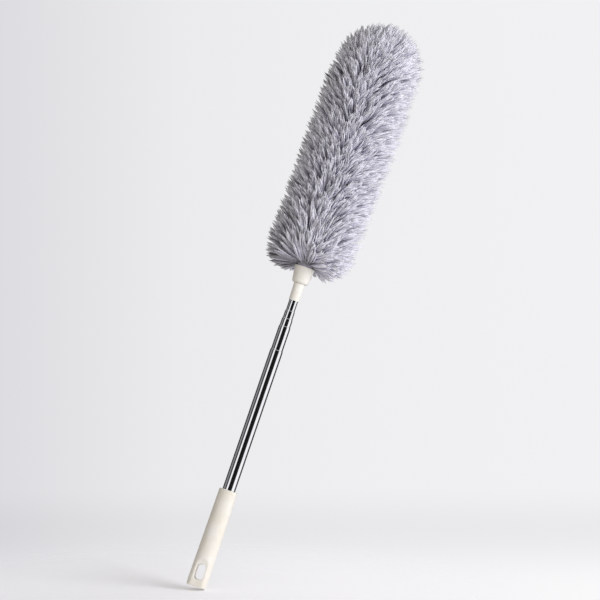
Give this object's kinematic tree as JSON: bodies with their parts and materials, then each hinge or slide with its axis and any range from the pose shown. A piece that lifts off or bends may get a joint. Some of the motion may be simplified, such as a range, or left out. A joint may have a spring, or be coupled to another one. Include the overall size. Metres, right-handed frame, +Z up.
{
  "type": "extending duster",
  "caption": "Extending duster for ceiling fans: a tapered plastic grip with a hanging slot, a telescopic steel pole and a long bendable head of soft fibre locks.",
  "frame": {"origin": "centre of the grip's flat end face", "axes": "+Z up the pole towards the head, -Y the side from which the hanging slot is seen, +X to the right of that side"},
  "size_m": [0.1255, 0.1248, 0.8275],
  "materials": {
    "ivory_plastic": "satin",
    "polished_steel": "polished",
    "nylon": "satin",
    "bronze": "satin",
    "core_wire": "satin",
    "sleeve_plastic": "matte",
    "microfibre": "matte"
  },
  "bodies": {
    "grip": {"grip": "ivory_plastic", "pole_anchor_plug": "nylon", "tube_1": "polished_steel"},
    "section_2": {"tube_2": "polished_steel", "tube_2_bush": "nylon", "tube_2_friction_spring": "bronze"},
    "section_3": {"tube_3": "polished_steel", "tube_3_bush": "nylon", "tube_3_friction_spring": "bronze"},
    "section_4": {"tube_4": "polished_steel", "tube_4_bush": "nylon", "tube_4_friction_spring": "bronze"},
    "section_5": {"tube_5": "polished_steel", "tube_5_bush": "nylon", "tube_5_friction_spring": "bronze", "neck_socket": "ivory_plastic"},
    "head_base": {"head_collar": "ivory_plastic", "core_wire_1": "core_wire", "core_sleeve_1": "sleeve_plastic", "fibres_1": "microfibre"},
    "head_lower": {"core_wire_2": "core_wire", "core_sleeve_2": "sleeve_plastic", "fibres_2": "microfibre"},
    "head_upper": {"core_wire_3": "core_wire", "core_sleeve_3": "sleeve_plastic", "fibres_3": "microfibre"},
    "head_tip": {"core_wire_4": "core_wire", "core_sleeve_4": "sleeve_plastic", "core_cap": "nylon", "fibres_4": "microfibre"}
  },
  "joints": [
    {"name": "section_2_slide", "type": "slide", "parent": "grip", "child": "section_2", "axis": [0, 0, 1], "range_m": [0, 0.273]},
    {"name": "section_3_slide", "type": "slide", "parent": "section_2", "child": "section_3", "axis": [0, 0, 1], "range_m": [0, 0.296]},
    {"name": "section_4_slide", "type": "slide", "parent": "section_3", "child": "section_4", "axis": [0, 0, 1], "range_m": [0, 0.296]},
    {"name": "section_5_slide", "type": "slide", "parent": "section_4", "child": "section_5", "axis": [0, 0, 1], "range_m": [0, 0.296]},
    {"name": "head_pull_off", "type": "slide", "parent": "section_5", "child": "head_base", "axis": [0, 0, 1], "range_m": [0, 0.03]},
    {"name": "head_bend_1", "type": "hinge", "parent": "head_base", "child": "head_lower", "pos_m": [0, 0, 0.572], "axis": [0, 1, 0], "range_deg": [-30, 30], "deforming": ["fibres_1", "fibres_2"]},
    {"name": "head_bend_2", "type": "hinge", "parent": "head_lower", "child": "head_upper", "pos_m": [0, 0, 0.646], "axis": [0, 1, 0], "range_deg": [-30, 30], "deforming": ["fibres_3"]},
    {"name": "head_bend_3", "type": "hinge", "parent": "head_upper", "child": "head_tip", "pos_m": [0, 0, 0.722], "axis": [0, 1, 0], "range_deg": [-30, 30], "deforming": ["fibres_4"]}
  ],
  "couplings": [
    {"joint": "head_bend_2", "follows": "head_bend_1", "ratio": 1},
    {"joint": "head_bend_3", "follows": "head_bend_1", "ratio": 1}
  ]
}
